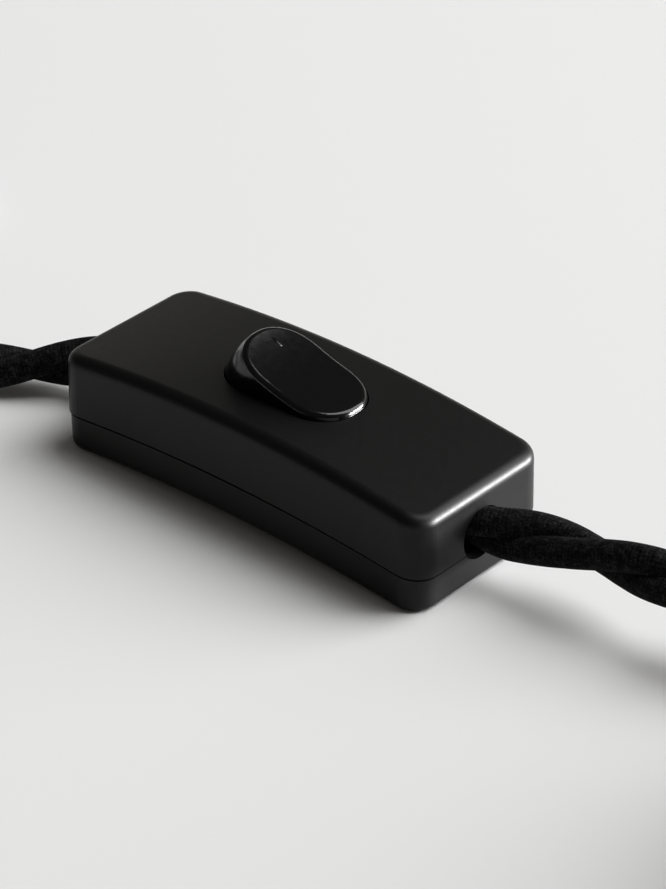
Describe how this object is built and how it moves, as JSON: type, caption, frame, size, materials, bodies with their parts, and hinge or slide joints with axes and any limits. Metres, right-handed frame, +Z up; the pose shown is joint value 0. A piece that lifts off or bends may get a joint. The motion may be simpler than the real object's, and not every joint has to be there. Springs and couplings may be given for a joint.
{
  "type": "inline cord switch",
  "caption": "Rocker switch in an arched plastic housing, fitted inline on a twisted textile lead that ends in a flat mains plug and, for the lamp, in stripped cores with ferrules.",
  "frame": {"origin": "on the table under the middle of the switch housing", "axes": "+X along the housing towards the plug, +Y across the housing, +Z up out of the table"},
  "size_m": [0.4117, 0.0558, 0.0448],
  "materials": {
    "housing_plastic": "satin moulded black",
    "rocker_plastic": "gloss moulded black",
    "plunger_plastic": "natural nylon",
    "cord_textile": "braided black textile",
    "strap_textile": "woven black strap",
    "plug_plastic": "satin moulded black",
    "brass": "stamped",
    "steel": "zinc plated",
    "contact_silver": "silver alloy",
    "copper": "bare stranded copper",
    "core_brown": "brown insulation",
    "core_blue": "blue insulation",
    "ferrule_tin": "tinned",
    "pin_nickel": "nickel plated"
  },
  "bodies": {
    "base": {"upper_housing": "housing_plastic", "lower_housing": "housing_plastic", "fixed_contact_tip": "contact_silver", "line_terminal": "brass", "load_terminal": "brass", "neutral_link": "brass", "terminal_screws": "steel", "clamp_screws": "steel", "housing_screws": "steel", "cord_clamp_plug_side": "housing_plastic", "cord_clamp_lamp_side": "housing_plastic", "line_core_plug_side": "core_brown", "neutral_core_plug_side": "core_blue", "load_core_lamp_side": "core_brown", "neutral_core_lamp_side": "core_blue", "copper_ends": "copper", "plug_cord": "cord_textile", "lamp_cord": "cord_textile", "lamp_end_cores": "core_brown", "lamp_end_ferrules": "ferrule_tin", "plug_cord_hank": "cord_textile", "hank_straps": "strap_textile", "plug_body": "plug_plastic", "plug_pins": "pin_nickel", "plug_cord_tail": "cord_textile"},
    "rocker": {"rocker": "rocker_plastic", "plunger_spring": "steel"},
    "plunger": {"contact_plunger": "plunger_plastic"},
    "contact": {"rocking_contact": "brass", "moving_contact_tip": "contact_silver"}
  },
  "joints": [
    {"name": "rocker_tilt", "type": "hinge", "parent": "base", "child": "rocker", "pos_m": [0, 0, 0.0142], "axis": [0, -1, 0], "range_deg": [0, 32]},
    {"name": "plunger_slide", "type": "slide", "parent": "rocker", "child": "plunger", "axis": [0.2756, 0, 0.9613], "range_m": [0, 0.0006], "stiffness_N_per_m": 400, "springref_m": -0.003, "deforming": ["plunger_spring"]},
    {"name": "contact_rock", "type": "hinge", "parent": "base", "child": "contact", "pos_m": [0, 0, 0.0065], "axis": [0, -1, 0], "range_deg": [-12, 0]}
  ],
  "couplings": [
    {"joint": "contact_rock", "follows": "rocker_tilt", "ratio": -0.375}
  ]
}
